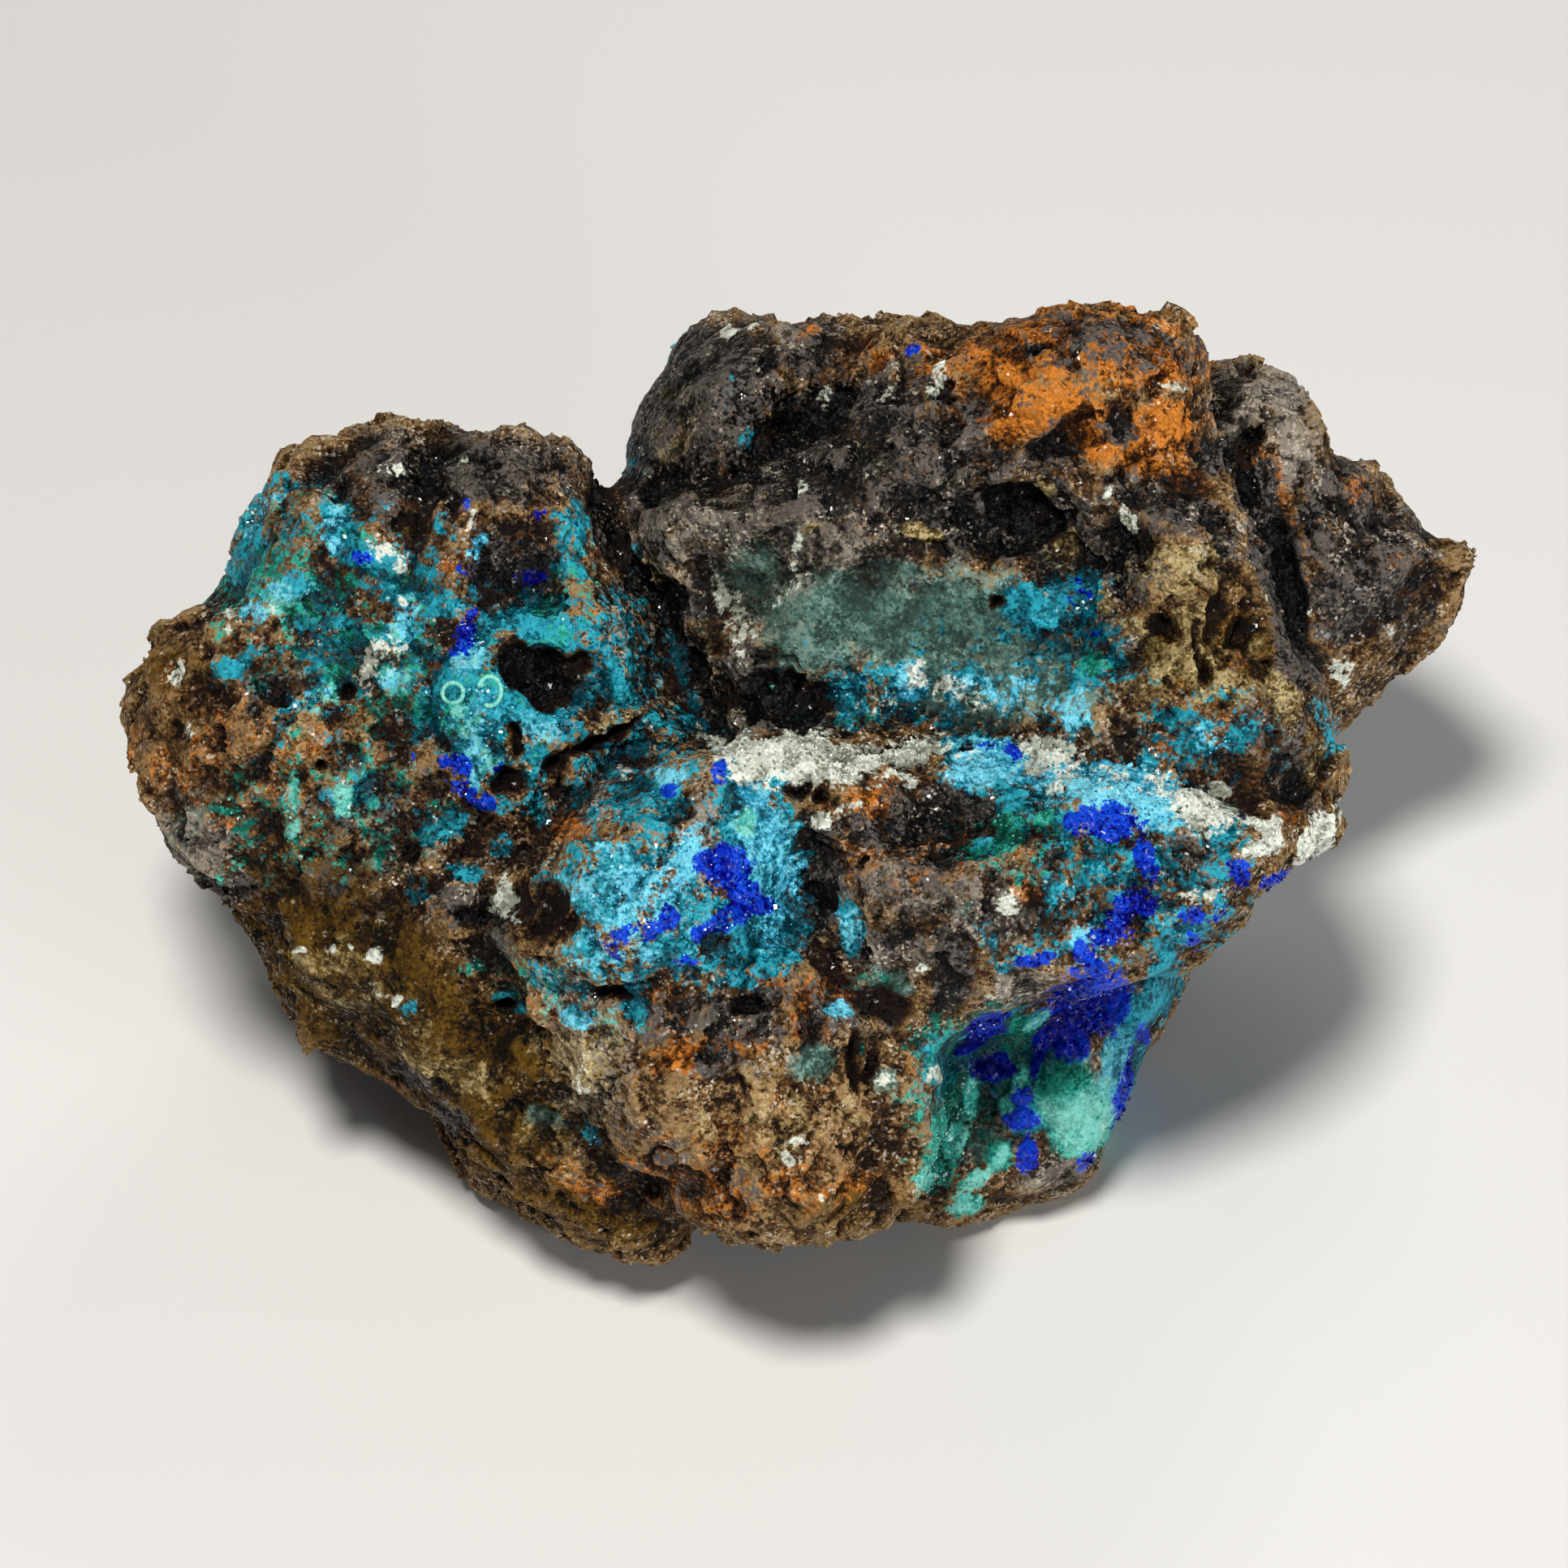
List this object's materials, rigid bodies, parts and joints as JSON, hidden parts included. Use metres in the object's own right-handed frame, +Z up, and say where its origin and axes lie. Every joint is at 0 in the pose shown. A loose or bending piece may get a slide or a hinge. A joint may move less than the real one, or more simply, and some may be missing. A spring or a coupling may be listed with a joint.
{
  "type": "chrysocolla and malachite specimen",
  "caption": "Rough lumpy hand specimen of iron-stained rock with crusts of chrysocolla, malachite and azurite, lying so that its crusted face leans back.",
  "frame": {"origin": "centre of the object's box in plan, at the level of the pads that the rock rests on", "axes": "+X along the rock's longest extent, to the right as its crusted face is looked at; -Y towards the viewer of that face, which leans back 45 degrees; +Z up"},
  "size_m": [0.0816, 0.061, 0.0501],
  "materials": {
    "iron_stained_rock": "rough, pitted, iron-stained rock with glittering grains, crusted in teal, green and deep blue copper minerals"
  },
  "bodies": {
    "root": {"mineral_specimen": "iron_stained_rock"}
  },
  "joints": []
}
